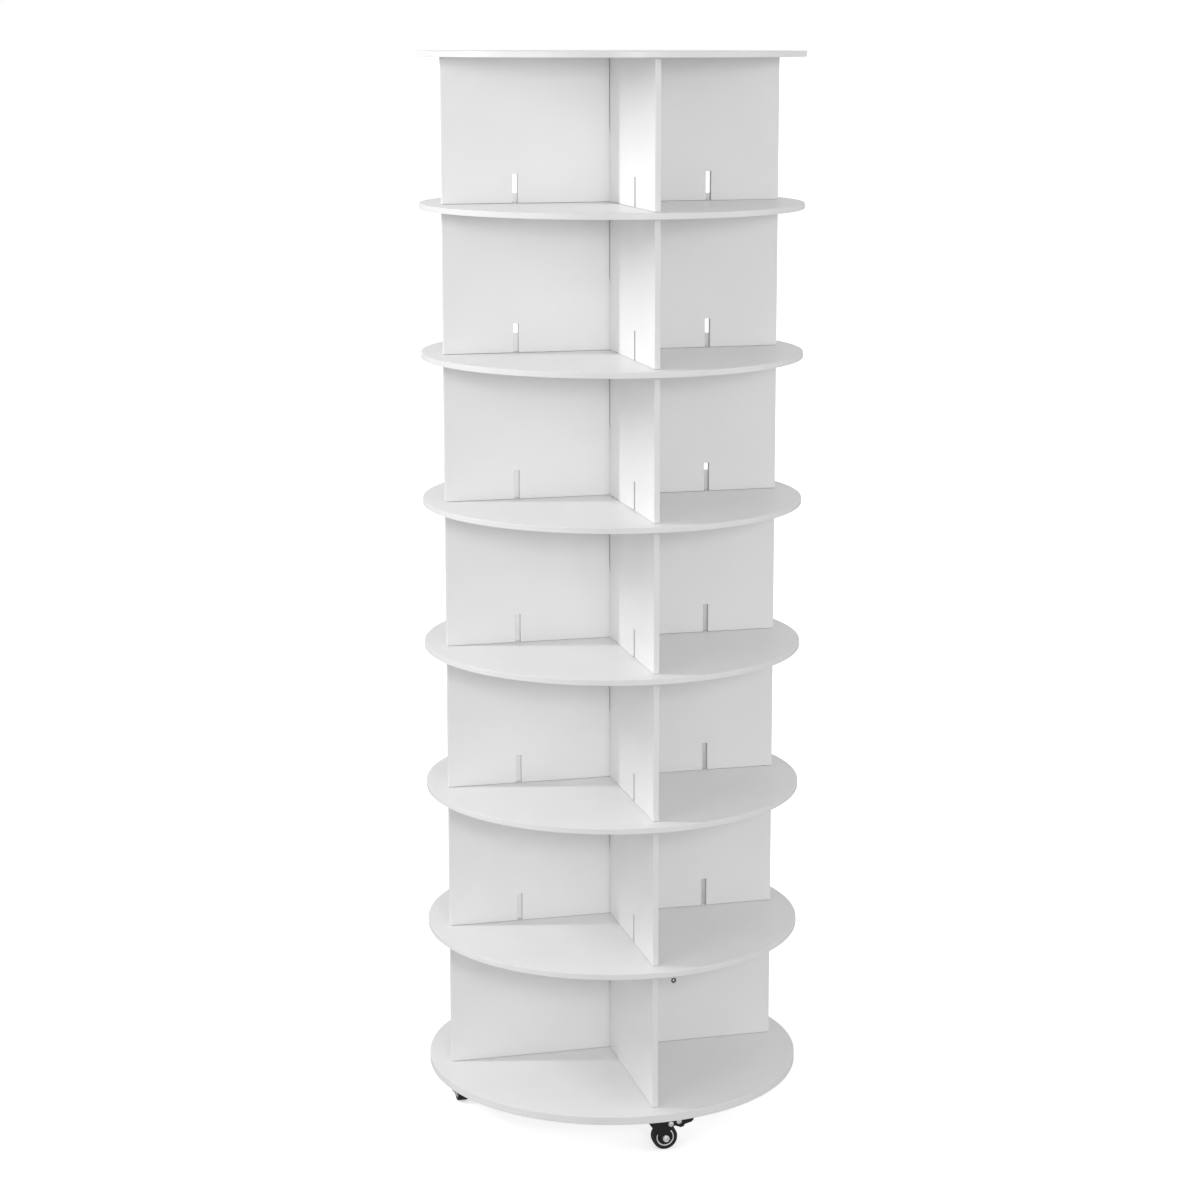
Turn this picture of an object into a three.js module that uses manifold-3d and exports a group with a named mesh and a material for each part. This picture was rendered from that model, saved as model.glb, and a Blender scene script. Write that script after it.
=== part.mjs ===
// A round shoe tower: eight discs held apart by crossed divider boards, on four swivel casters.
// Millimetres, +Z up. The origin is on the floor, under the tower's axis.
// In each tier one divider board runs along X and the other along Y, halved into each other.

import * as THREE from "three";
import { mergeVertices } from "three/addons/utils/BufferGeometryUtils.js";
import Module from "manifold-3d";

const wasm = await Module();
wasm.setup();

// Sides of the round forms
const discSides = 52;
const tyreSides = 26;
const wheelSides = 16;
const boltSides = 10;
const holeSides = 8;
const screwSides = 6;
const hexSides = 6;
const arcSteps = 2;

// Gaps and overruns that all pieces share
const seatGap = 0.3;
const cutOverrun = 1;

// Tower
const tierCount = 7;
const discRadius = 300;
const shelfThickness = 9;
const baseThickness = 13;
const tierHeight = 222;
const discEdgeEase = 1.2;

// Divider boards
const boardThickness = 9;
const boardInset = 30;
const lapClearance = 0.4;
const slotWidth = 8;
const slotHeight = 45;

// Screws that pass through each disc into the boards below it
const screwCircleRadius = 155;
const screwHoleRadius = 2.3;
const pilotHoleRadius = 1.5;
const pilotDepth = 31;

// Tie bolts that come up through the base, and the barrel nuts that they draw down
const tieRadius = 104;
const tieHeight = 105;
const tieShankRadius = 2.5;
const tieClearance = 0.3;
const tieEndLength = 9;
const tieHeadRadius = 4.6;
const tieHeadHeight = 4;
const tieHeadClearance = 0.5;
const barrelRadius = 5;
const barrelLength = 7.6;

// Casters, from the floor up
const casterInset = 50;
const wheelRadius = 20;
const casterTrail = 20;
const crownClearance = 9.5;
const forkSheet = 2;
const raceHeight = 8.5;
const plateThickness = 3;

// Tyre and wheel
const tyreWidth = 17;
const tyreDepth = 5.2;
const tyreShoulder = 3.2;
const rimWidth = 2.7;
const rimSetback = 0.4;
const webHalfThickness = 3;
const hubRadius = 6.4;
const axleRadius = 3;
const boreClearance = 0.3;

// Axle bolt
const axleHeadRadius = 5.6;
const axleHeadHeight = 3.4;
const axleNutHeight = 4.2;

// Fork
const toeRadius = 7;
const heelReach = 11;
const crownRadius = 17;
const throatInsetShare = 1 / 3;
const throatLiftShare = 1 / 3;
const lobeFootShare = 1 / 2;

// Swivel
const kingpinRadius = 4;
const kingpinHeadRadius = 6.5;
const kingpinHeadHeight = 2.8;
const kingpinFlare = 1.5;
const raceRadius = 16;
const raceWall = 7;
const raceRound = 2.4;

// Top plate
const plateSide = 42;
const plateCorner = 4;
const plateHoleSpacing = 31;
const plateHoleRadius = 2.4;

// Brake
const brakePivotAhead = 8;
const brakePivotRise = 3;
const brakePinRadius = 2.2;
const brakePinHeadRadius = 3.6;
const brakePinHeadHeight = 1.5;
const brakeLobeRadius = 6.5;
const cheekThickness = 1.2;
const cheekEyeRadius = 4;
const pedalLength = 38;
const pedalDepth = 6;
const pedalTilt = 3;
const pedalSheet = 1.8;
const noseReach = 15.6;
const noseDrop = 8.3;
const noseWidth = 6;
const noseRadius = 1.6;
const rivetReach = 13.9;

// Derived places
const tierPitch = tierHeight + shelfThickness;
const boardHeight = tierHeight - 2 * seatGap;
const boardLength = 2 * (discRadius - boardInset);
const casterRadius = discRadius - casterInset;
const crownBottom = 2 * wheelRadius + crownClearance;
const crownTop = crownBottom + forkSheet;
const plateBottom = crownTop + raceHeight;
const plateTop = plateBottom + plateThickness;
const baseBottom = plateTop + seatGap;
const baseTop = baseBottom + baseThickness;
const legInside = tyreWidth / 2 + cheekThickness + 2 * seatGap;
const legOutside = legInside + forkSheet;
const brakePivotX = casterTrail + brakePivotAhead;
const brakePivotZ = 2 * wheelRadius + brakePivotRise;

// Finishes
const board = new THREE.MeshStandardMaterial({ color: 0xf0f0ee, roughness: 0.38, metalness: 0 });
const blackSteel = new THREE.MeshStandardMaterial({ color: 0x17181a, roughness: 0.42, metalness: 0.3 });
const rubber = new THREE.MeshStandardMaterial({ color: 0x101010, roughness: 0.7, metalness: 0 });
const silver = new THREE.MeshStandardMaterial({ color: 0xc9cbcc, roughness: 0.3, metalness: 0.8 });
const steel = new THREE.MeshStandardMaterial({ color: 0xb9bbbd, roughness: 0.28, metalness: 1 });

// Joining and cutting

function solidOf(geometry) {
  const bare = geometry.clone();
  bare.deleteAttribute("normal");
  bare.deleteAttribute("uv");
  const merged = mergeVertices(bare);
  return new wasm.Manifold(
    new wasm.Mesh({
      numProp: 3,
      vertProperties: merged.attributes.position.array,
      triVerts: new Uint32Array(merged.index.array),
    }),
  );
}

function geometryOf(solid) {
  const mesh = solid.getMesh();
  const geometry = new THREE.BufferGeometry();
  geometry.setAttribute("position", new THREE.BufferAttribute(mesh.vertProperties, mesh.numProp));
  geometry.setIndex(new THREE.BufferAttribute(mesh.triVerts, 1));
  const flat = geometry.toNonIndexed();
  flat.computeVertexNormals();
  return flat;
}

function join(...geometries) {
  return geometryOf(geometries.map(solidOf).reduce((whole, piece) => whole.add(piece)));
}

function cut(geometry, ...tools) {
  return geometryOf(tools.map(solidOf).reduce((rest, tool) => rest.subtract(tool), solidOf(geometry)));
}

// Simple forms

function box(sizeX, sizeY, sizeZ, x, y, z) {
  return new THREE.BoxGeometry(sizeX, sizeY, sizeZ).translate(x, y, z);
}

// A round bar along Z, from z0 to z1.
function barZ(radius, z0, z1, x, y, sides) {
  const bar = new THREE.CylinderGeometry(radius, radius, z1 - z0, sides);
  return bar.rotateX(Math.PI / 2).translate(x, y, (z0 + z1) / 2);
}

// A round bar along Y, from y0 to y1.
function barY(radius, y0, y1, x, z, sides) {
  const bar = new THREE.CylinderGeometry(radius, radius, y1 - y0, sides);
  return bar.translate(x, (y0 + y1) / 2, z);
}

// A profile of [radius, height] points turned about Z.
function turned(profile, sides) {
  const points = profile.map(([radius, height]) => new THREE.Vector2(radius, height));
  return new THREE.LatheGeometry(points, sides).rotateX(Math.PI / 2);
}

// A closed ring profile turned about Z.
function turnedRing(profile, sides) {
  return turned([...profile, profile[0]], sides);
}

function extruded(shape, depth) {
  return new THREE.ExtrudeGeometry(shape, { depth, bevelEnabled: false, curveSegments: arcSteps });
}

// An outline in the XZ plane, given thickness along Y from y0 to y1.
function platedY(shape, y0, y1) {
  return extruded(shape, y1 - y0).rotateX(Math.PI / 2).translate(0, y1, 0);
}

// An outline in the XY plane, given thickness along Z from z0 to z1.
function platedZ(shape, z0, z1) {
  return extruded(shape, z1 - z0).translate(0, 0, z0);
}

// Points of an arc about (cx, cy), between two angles.
function arcPoints(cx, cy, radius, from, to, steps) {
  return Array.from({ length: steps + 1 }, (_, i) => {
    const angle = from + ((to - from) * i) / steps;
    return [cx + radius * Math.cos(angle), cy + radius * Math.sin(angle)];
  });
}

function outline(points) {
  return new THREE.Shape(points.map(([x, y]) => new THREE.Vector2(x, y)));
}

// The direction angle of the line from a point that passes a circle on the circle's left.
function tangentAngle(fromX, fromY, toX, toY, radius) {
  const dx = toX - fromX;
  const dy = toY - fromY;
  return Math.atan2(dy, dx) - Math.asin(radius / Math.hypot(dx, dy));
}

// Four places at one radius, one on each arm of the cross.
function onEachArm(radius) {
  return [
    [radius, 0],
    [0, radius],
    [-radius, 0],
    [0, -radius],
  ];
}

// Discs

function disc(bottom, thickness) {
  const top = bottom + thickness;
  const ease = Math.min(discEdgeEase, thickness / 3);
  const profile = [
    [0, bottom],
    [discRadius - ease, bottom],
    [discRadius, bottom + ease],
    [discRadius, top - ease],
    [discRadius - ease, top],
    [0, top],
  ];
  const holes = onEachArm(screwCircleRadius).map(([x, y]) =>
    barZ(screwHoleRadius, bottom - cutOverrun, top + cutOverrun, x, y, screwSides),
  );
  return cut(turned(profile, discSides), ...holes);
}

// The base also has the two tie-bolt holes, counterbored from below for the heads.
function baseDisc() {
  const recess = tieHeadHeight + tieHeadClearance;
  const holes = [tieRadius, -tieRadius].flatMap((x) => [
    barZ(tieShankRadius + tieClearance, baseBottom - cutOverrun, baseTop + cutOverrun, x, 0, holeSides),
    barZ(tieHeadRadius + tieHeadClearance, baseBottom - cutOverrun, baseBottom + recess, x, 0, boltSides),
  ]);
  return cut(disc(baseBottom, baseThickness), ...holes);
}

// Divider boards, modelled along X with their foot at height 0

function screwBores() {
  return [screwCircleRadius, -screwCircleRadius].map((x) =>
    barZ(pilotHoleRadius, boardHeight - pilotDepth, boardHeight + cutOverrun, x, 0, screwSides),
  );
}

function footBores() {
  return [screwCircleRadius, -screwCircleRadius].map((x) =>
    barZ(pilotHoleRadius, -cutOverrun, pilotDepth, x, 0, screwSides),
  );
}

function footSlots() {
  const cutDepth = boardThickness + 2 * cutOverrun;
  return [screwCircleRadius, -screwCircleRadius].map((x) =>
    box(slotWidth, cutDepth, slotHeight + cutOverrun, x, 0, (slotHeight - cutOverrun) / 2),
  );
}

// The halving notch: open at the top of the lower board, and at the foot of the upper one.
function halvingNotch(openAtTop) {
  const width = boardThickness + 2 * lapClearance;
  const height = boardHeight / 2 + lapClearance / 2 + cutOverrun;
  const middle = openAtTop ? boardHeight + cutOverrun - height / 2 : height / 2 - cutOverrun;
  return box(width, boardThickness + 2 * cutOverrun, height, 0, 0, middle);
}

// On the X board of the lowest tier, each arm has a blind hole for its barrel nut and a bore for its bolt.
// The holes face opposite ways, so that the board looks the same when it is turned end for end.
function tieBores() {
  return [1, -1].flatMap((side) => {
    const mouth = (-side * boardThickness) / 2;
    const ends = [mouth - side * cutOverrun, mouth + side * (barrelLength + tieClearance)];
    const x = side * tieRadius;
    const bore = tieShankRadius + tieClearance;
    return [
      barY(barrelRadius + tieClearance, Math.min(...ends), Math.max(...ends), x, tieHeight, boltSides),
      barZ(bore, -cutOverrun, tieHeight + tieEndLength + tieClearance, x, 0, holeSides),
    ];
  });
}

function dividerBoard(isLower, isGround) {
  const blank = box(boardLength, boardThickness, boardHeight, 0, 0, boardHeight / 2);
  const feet = isGround ? footBores() : footSlots();
  const ties = isGround && isLower ? tieBores() : [];
  const lying = cut(blank, halvingNotch(isLower), ...screwBores(), ...feet, ...ties);
  return isLower ? lying : lying.rotateZ(Math.PI / 2);
}

// Tie bolts and barrel nuts

function tieBolt(side) {
  const headBottom = baseBottom + tieHeadClearance;
  const headTop = headBottom + tieHeadHeight - seatGap;
  const tip = baseTop + seatGap + tieHeight + tieEndLength;
  return join(
    barZ(tieHeadRadius, headBottom, headTop, side * tieRadius, 0, boltSides),
    barZ(tieShankRadius, headTop - cutOverrun, tip, side * tieRadius, 0, holeSides),
  );
}

function barrelNut(side) {
  const mouth = (-side * boardThickness) / 2;
  const far = mouth + side * barrelLength;
  const height = baseTop + seatGap + tieHeight;
  const x = side * tieRadius;
  const body = barY(barrelRadius, Math.min(mouth, far), Math.max(mouth, far), x, height, boltSides);
  const reach = barrelRadius + cutOverrun;
  const thread = barZ(tieShankRadius + tieClearance, height - reach, height + reach, x, 0, holeSides);
  return cut(body, thread);
}

// Casters. Each is modelled with its kingpin on the Z axis and its wheel trailing along +X.

function casterPlate() {
  const half = plateSide / 2;
  const inner = half - plateCorner;
  const quarter = Math.PI / 2;
  const quadrants = [
    [1, 1, 0],
    [-1, 1, quarter],
    [-1, -1, 2 * quarter],
    [1, -1, 3 * quarter],
  ];
  const rim = quadrants.flatMap(([sx, sy, start]) =>
    arcPoints(sx * inner, sy * inner, plateCorner, start, start + quarter, arcSteps),
  );
  const plate = platedZ(outline(rim), plateBottom, plateTop);
  const low = plateBottom - cutOverrun;
  const high = plateTop + cutOverrun;
  const spread = plateHoleSpacing / 2;
  const holes = quadrants.map(([sx, sy]) =>
    barZ(plateHoleRadius, low, high, sx * spread, sy * spread, screwSides),
  );
  const bore = kingpinRadius + boreClearance;
  const centre = barZ(bore, low, high, 0, 0, boltSides);
  const flare = barZ(bore + kingpinFlare, plateTop - plateThickness / 2, high, 0, 0, boltSides);
  return cut(plate, ...holes, centre, flare);
}

// The ball race: two pressed cups, drawn as one ring with a rolled edge.
function casterRace() {
  const low = crownTop + seatGap;
  const high = plateBottom - seatGap;
  const round = Math.min(raceRound, (high - low) / 3);
  const inner = raceRadius - raceWall;
  return turnedRing(
    [
      [inner, low],
      [raceRadius - round, low],
      [raceRadius, low + round],
      [raceRadius, high - round],
      [raceRadius - round, high],
      [inner, high],
    ],
    wheelSides,
  );
}

// The kingpin is a rivet: its head holds the fork up, and its upper end is spread in the plate.
function casterKingpin() {
  const headTop = crownBottom - seatGap;
  const headBottom = headTop - kingpinHeadHeight;
  const flareBottom = plateTop - plateThickness / 2 + seatGap;
  const tip = plateTop - seatGap / 2;
  return turned(
    [
      [0, headBottom],
      [kingpinHeadRadius - kingpinHeadHeight / 2, headBottom],
      [kingpinHeadRadius, headBottom + kingpinHeadHeight / 2],
      [kingpinHeadRadius, headTop],
      [kingpinRadius, headTop],
      [kingpinRadius, flareBottom],
      [kingpinRadius + kingpinFlare, flareBottom],
      [kingpinRadius + kingpinFlare, tip],
      [0, tip],
    ],
    boltSides,
  );
}

// One leg of the fork: a straight leading edge down to the toe round the axle, and a hollow trailing edge
// that runs up to the lobe round the brake pin.
function legShape() {
  const leading = tangentAngle(-heelReach, crownTop, casterTrail, wheelRadius, toeRadius);
  const throat = [
    brakePivotX - throatInsetShare * brakeLobeRadius,
    (wheelRadius + brakePivotZ) / 2 + throatLiftShare * toeRadius,
  ];
  const lobeFoot = [brakePivotX + lobeFootShare * brakeLobeRadius, brakePivotZ - brakeLobeRadius];
  const shape = new THREE.Shape();
  shape.moveTo(-heelReach, crownTop);
  shape.absarc(casterTrail, wheelRadius, toeRadius, leading - Math.PI / 2, Math.PI / 6, false);
  shape.quadraticCurveTo(...throat, ...lobeFoot);
  shape.absarc(brakePivotX, brakePivotZ, brakeLobeRadius, -Math.PI / 4, Math.PI / 6, false);
  shape.lineTo(brakePivotX, crownTop);
  shape.closePath();
  return shape;
}

// The fork is one stamping: a round crown, the web over the wheel and two legs.
function casterFork() {
  const legs = [platedY(legShape(), legInside, legOutside), platedY(legShape(), -legOutside, -legInside)];
  const crown = barZ(crownRadius, crownBottom, crownTop, 0, 0, wheelSides);
  const web = box(brakePivotX, 2 * legOutside, forkSheet, brakePivotX / 2, 0, crownBottom + forkSheet / 2);
  const heel = box(heelReach, 2 * legOutside, forkSheet, -heelReach / 2, 0, crownBottom + forkSheet / 2);
  const reach = legOutside + cutOverrun;
  return cut(
    join(crown, web, heel, ...legs),
    barZ(kingpinRadius + boreClearance, crownBottom - cutOverrun, crownTop + cutOverrun, 0, 0, boltSides),
    barY(axleRadius + boreClearance, -reach, reach, casterTrail, wheelRadius, boltSides),
    barY(brakePinRadius + boreClearance, -reach, reach, brakePivotX, brakePivotZ, boltSides),
  );
}

// The axle bolt, with its round head at the back and its nut at the front.
function casterAxle() {
  const face = legOutside + seatGap;
  return join(
    barY(axleRadius, -face - axleNutHeight, face + axleHeadHeight / 2, casterTrail, wheelRadius, boltSides),
    barY(axleHeadRadius, -face - axleNutHeight + cutOverrun, -face, casterTrail, wheelRadius, hexSides),
    barY(axleHeadRadius, face, face + axleHeadHeight, casterTrail, wheelRadius, boltSides),
  );
}

// The wheel: a rim that shows as a ring inside the tyre, a recessed web and a hub as wide as the fork.
function casterWheel() {
  const rimOuter = wheelRadius - tyreDepth - seatGap;
  const rimInner = rimOuter - rimWidth;
  const rimHalf = tyreWidth / 2 - rimSetback;
  const hubHalf = legInside - seatGap;
  const bore = axleRadius + boreClearance;
  const half = [
    [bore, hubHalf],
    [hubRadius, hubHalf],
    [hubRadius, webHalfThickness],
    [rimInner, webHalfThickness],
    [rimInner, rimHalf],
    [rimOuter, rimHalf],
  ];
  const mirrored = half.map(([radius, width]) => [radius, -width]);
  return turnedRing([...mirrored, ...half.reverse()], wheelSides)
    .rotateX(Math.PI / 2)
    .translate(casterTrail, 0, wheelRadius);
}

function casterTyre() {
  const inner = wheelRadius - tyreDepth;
  const half = tyreWidth / 2;
  const shoulder = Math.min(tyreShoulder, tyreDepth, half);
  const upper = arcPoints(wheelRadius - shoulder, half - shoulder, shoulder, 0, Math.PI / 2, arcSteps);
  const lower = upper.map(([radius, width]) => [radius, -width]).reverse();
  return turnedRing([[inner, -half], ...lower, ...upper, [inner, half]], tyreSides)
    .rotateX(Math.PI / 2)
    .translate(casterTrail, 0, wheelRadius);
}

// The brake turns on a pin through the fork. Its two cheeks run beside the tyre and carry a nose behind it,
// which comes down on the tread when the pedal is pressed.
function brakePin() {
  const face = legOutside + seatGap;
  const end = face + brakePinHeadHeight;
  return join(
    barY(brakePinRadius, -end, end, brakePivotX, brakePivotZ, boltSides),
    barY(brakePinHeadRadius, -end, -face, brakePivotX, brakePivotZ, boltSides),
    barY(brakePinHeadRadius, face, end, brakePivotX, brakePivotZ, boltSides),
  );
}

function brakePedal() {
  const outside = legInside - seatGap;
  const inside = outside - cheekThickness;
  const nose = [brakePivotX + noseReach, brakePivotZ - noseDrop];
  const top = brakePivotZ + cheekEyeRadius;
  const tipX = brakePivotX + pedalLength;
  const kneeX = nose[0] + noseWidth + noseRadius;
  const eyeEnd = (5 * Math.PI) / 3;
  const eye = arcPoints(brakePivotX, brakePivotZ, cheekEyeRadius, Math.PI / 2, eyeEnd, 2 * arcSteps);
  const cheek = outline([
    ...eye,
    [nose[0] - noseRadius, nose[1] + noseRadius],
    nose,
    [nose[0] + noseWidth, nose[1] + noseRadius],
    [kneeX, top - pedalDepth],
    [tipX - pedalDepth / 2, top + pedalTilt - pedalDepth],
    [tipX, top + pedalTilt - pedalDepth / 2],
    [tipX - pedalSheet, top + pedalTilt],
    [kneeX, top],
  ]);
  const plate = outline([
    [brakePivotX + cheekEyeRadius, top - pedalSheet],
    [kneeX, top - pedalSheet],
    [tipX - pedalSheet, top + pedalTilt - pedalSheet],
    [tipX - pedalSheet, top + pedalTilt],
    [kneeX, top],
    [brakePivotX + cheekEyeRadius, top],
  ]);
  const reach = outside + cutOverrun;
  const rivetZ = brakePivotZ + brakePinRadius;
  const rivetX = brakePivotX + rivetReach;
  const middle = inside + cheekThickness / 2;
  const whole = join(
    platedY(cheek, inside, outside),
    platedY(cheek, -outside, -inside),
    platedY(plate, -middle, middle),
    barY(noseRadius, -middle, middle, nose[0], nose[1] + noseRadius, boltSides),
    barY(brakePinRadius, -outside, outside, rivetX, rivetZ, boltSides),
    barY(brakePinHeadRadius, -outside - brakePinHeadHeight, -inside, rivetX, rivetZ, boltSides),
    barY(brakePinHeadRadius, inside, outside + brakePinHeadHeight, rivetX, rivetZ, boltSides),
  );
  const bore = brakePinRadius + boreClearance;
  return cut(whole, barY(bore, -reach, reach, brakePivotX, brakePivotZ, boltSides));
}

// Assembly

const tower = new THREE.Group();

function place(parent, name, geometry, material) {
  const mesh = new THREE.Mesh(geometry, material);
  mesh.name = name;
  parent.add(mesh);
  return mesh;
}

place(tower, "base_disc", baseDisc(), board);
for (let tier = 1; tier <= tierCount; tier += 1) {
  const foot = baseTop + (tier - 1) * tierPitch;
  const lower = place(tower, `tier_${tier}_lower_board`, dividerBoard(true, tier === 1), board);
  const upper = place(tower, `tier_${tier}_upper_board`, dividerBoard(false, tier === 1), board);
  lower.position.z = foot + seatGap;
  upper.position.z = foot + seatGap;
  const name = tier === tierCount ? "top_disc" : `shelf_disc_${tier}`;
  place(tower, name, disc(foot + tierHeight, shelfThickness), board);
}

for (const [name, side] of [["right", 1], ["left", -1]]) {
  place(tower, `tie_bolt_${name}`, tieBolt(side), steel);
  place(tower, `barrel_nut_${name}`, barrelNut(side), steel);
}

// Each caster's place round the base, the way its wheel trails, and whether it has a brake.
const casters = [
  { name: "front", place: -Math.PI / 2, trail: 0, braked: true },
  { name: "right", place: 0, trail: -Math.PI / 2, braked: false },
  { name: "back", place: Math.PI / 2, trail: Math.PI, braked: true },
  { name: "left", place: Math.PI, trail: Math.PI / 2, braked: false },
];

for (const caster of casters) {
  const mount = new THREE.Group();
  mount.position.set(casterRadius * Math.cos(caster.place), casterRadius * Math.sin(caster.place), 0);
  const swivel = new THREE.Group();
  swivel.rotation.z = caster.trail;
  mount.add(swivel);
  tower.add(mount);
  const prefix = `caster_${caster.name}`;
  place(mount, `${prefix}_plate`, casterPlate(), blackSteel);
  place(mount, `${prefix}_race`, casterRace(), blackSteel);
  place(mount, `${prefix}_kingpin`, casterKingpin(), steel);
  place(swivel, `${prefix}_fork`, casterFork(), blackSteel);
  place(swivel, `${prefix}_axle`, casterAxle(), steel);
  place(swivel, `${prefix}_wheel`, casterWheel(), silver);
  place(swivel, `${prefix}_tyre`, casterTyre(), rubber);
  if (caster.braked) {
    place(swivel, `${prefix}_brake_pin`, brakePin(), steel);
    place(swivel, `${prefix}_brake_pedal`, brakePedal(), blackSteel);
  }
}

export default tower;
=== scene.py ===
"""The looks of a round shoe tower on swivel casters, laid out as an add-on.

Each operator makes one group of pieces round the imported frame, and the last one makes
the floor, the lights and the camera. Lengths are in metres, +Z is up, and the tower's
axis stands on the origin.
"""

import functools
import math

import bmesh
import bpy
from bpy.props import FloatProperty, FloatVectorProperty, IntProperty, PointerProperty
from mathutils import Matrix, Vector


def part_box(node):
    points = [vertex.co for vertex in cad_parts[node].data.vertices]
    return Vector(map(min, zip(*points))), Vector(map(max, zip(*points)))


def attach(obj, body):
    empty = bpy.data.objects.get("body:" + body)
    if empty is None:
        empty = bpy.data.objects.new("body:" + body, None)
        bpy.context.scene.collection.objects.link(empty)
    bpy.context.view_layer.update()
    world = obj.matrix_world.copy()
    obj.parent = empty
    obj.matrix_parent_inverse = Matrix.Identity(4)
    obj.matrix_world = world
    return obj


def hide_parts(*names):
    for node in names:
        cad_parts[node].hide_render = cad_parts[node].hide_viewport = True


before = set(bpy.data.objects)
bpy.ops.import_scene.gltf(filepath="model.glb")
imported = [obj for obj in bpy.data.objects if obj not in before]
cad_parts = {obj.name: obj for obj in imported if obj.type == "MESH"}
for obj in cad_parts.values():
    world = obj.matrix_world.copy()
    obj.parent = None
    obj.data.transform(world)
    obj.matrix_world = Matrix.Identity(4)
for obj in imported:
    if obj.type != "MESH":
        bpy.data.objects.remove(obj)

bl_info = {
    "name": "Shoe tower looks",
    "version": (1, 0, 0),
    "blender": (4, 5, 0),
    "location": "View3D > Sidebar > Shoe tower",
    "description": "Dresses a packed shoe tower in its boards, fittings and casters",
    "category": "Object",
}

MM = 0.001
TIERS = range(1, 8)
DISCS = ["base_disc"] + [f"shelf_disc_{tier}" for tier in TIERS[:-1]] + ["top_disc"]

# The way in which each caster trails, as a turn about its kingpin from +X
TRAILS = {"front": 0.0, "right": -math.pi / 2, "back": math.pi, "left": math.pi / 2}
BRAKED = ("front", "back")

# The way in which each barrel nut faces, along Y
NUT_FACES = {"right": -1, "left": 1}

# The corners of a square, in the order of an outline
CORNERS = ((1, 1), (-1, 1), (-1, -1), (1, -1))


# How finely and how sharply forms are made
WELD = 1e-7
SHARP = math.radians(38)
SHEET_BEND = math.radians(50)
BAR_STEPS = 24
HEAD_STEPS = 32
PIN_STEPS = 40
ROUND_STEPS = 48
RACE_STEPS = 64
WHEEL_STEPS = 96
HEX_SIDES = 6
OVERRUN = 1 * MM


# Sizes and colours


def length(name, default, description):
    return FloatProperty(
        name=name, description=description, default=default, unit="LENGTH", precision=5
    )


def colour(name, default, description):
    return FloatVectorProperty(
        name=name, description=description, default=default, size=3, subtype="COLOR", min=0, max=1
    )


def share(name, default, description):
    return FloatProperty(
        name=name, description=description, default=default, subtype="FACTOR", min=0, max=1
    )


def rotation(name, degrees, description):
    return FloatProperty(
        name=name, description=description, default=math.radians(degrees), unit="ROTATION"
    )


def power(name, default, description):
    return FloatProperty(name=name, description=description, default=default, unit="POWER", min=0)


class BoardLooks(bpy.types.PropertyGroup):
    """Sizes and colours of the boards"""

    film: colour("Film", (0.82, 0.82, 0.82), "Colour of the white film on the boards")
    band: colour("Edge band", (0.73, 0.73, 0.73), "Colour of the strip glued round the edges")
    cut: colour("Cut edge", (0.66, 0.66, 0.66), "Colour of the painted edges inside slots")
    film_roughness: share("Film roughness", 0.34, "Roughness of the film")
    disc_arris: length("Disc arris", 0.8 * MM, "Radius of the eased edge of a disc")
    board_arris: length("Board arris", 0.8 * MM, "Radius of the eased edge of a divider board")
    disc_steps: IntProperty(name="Disc steps", description="Sides of a disc", default=256, min=64)
    slot_width: length("Slot width", 8 * MM, "Width of the slots over the shelf screws")
    slot_height: length("Slot height", 45 * MM, "Height of the slots over the shelf screws")
    screw_circle: length("Screw circle", 155 * MM, "Radius of the circle of screws in a disc")
    lap_gap: length("Lap gap", 0.6 * MM, "Gap at each side of a halving notch")


class FittingLooks(bpy.types.PropertyGroup):
    """Sizes and colours of the screws and tie bolts"""

    zinc: colour("Zinc", (0.84, 0.85, 0.86), "Colour of the zinc-plated steel")
    head_radius: length("Screw head radius", 3.4 * MM, "Radius of a shelf screw's head")
    head_height: length("Screw head height", 2.4 * MM, "Height of a shelf screw's head")
    cross_width: length("Cross width", 1.1 * MM, "Width of a screw's cross recess")
    cross_length: length("Cross length", 3.6 * MM, "Length of a screw's cross recess")
    cap_proud: length("Cap height", 0.3 * MM, "Height of a flush head above its disc")
    turned_steps: IntProperty(name="Turned steps", description="Sides of turned parts", default=48)


class CasterLooks(bpy.types.PropertyGroup):
    """Sizes and colours of the casters"""

    black: colour("Black steel", (0.006, 0.006, 0.006), "Colour of the painted sheet steel")
    hub: colour("Hub", (0.010, 0.010, 0.010), "Colour of the moulded hub")
    rubber: colour("Rubber", (0.009, 0.009, 0.009), "Colour of the tyre")
    silver: colour("Silver ring", (0.93, 0.93, 0.93), "Colour of the ring inside the tyre")
    seat_gap: length("Seat gap", 0.3 * MM, "Gap between pieces that seat on each other")
    fork_sheet: length("Fork sheet", 2 * MM, "Thickness of the fork's sheet steel")
    bend_radius: length("Bend radius", 3 * MM, "Outer radius of the fork's bends")
    toe_radius: length("Toe radius", 7 * MM, "Radius of the fork's toe round the axle")
    heel_reach: length("Heel reach", 11 * MM, "Reach of the fork in front of the kingpin")
    lobe_radius: length("Lobe radius", 6.5 * MM, "Radius of the fork's lobe round the brake pin")
    cheek: length("Cheek", 1.2 * MM, "Thickness of the brake's cheeks")
    rivet_radius: length("Rivet radius", 4.3 * MM, "Radius of the heads of the brake's rivets")
    rivet_height: length("Rivet height", 1.5 * MM, "Height of the heads of the brake's rivets")
    tyre_depth: length("Tyre depth", 5.2 * MM, "Depth of the tyre from tread to rim")
    rim_width: length("Ring width", 2.7 * MM, "Width of the silver ring")
    hub_step: length("Hub step", 8.9 * MM, "Radius of the raised step round the hub")
    web_half: length("Web", 3 * MM, "Half the thickness of the wheel's web")


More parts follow.
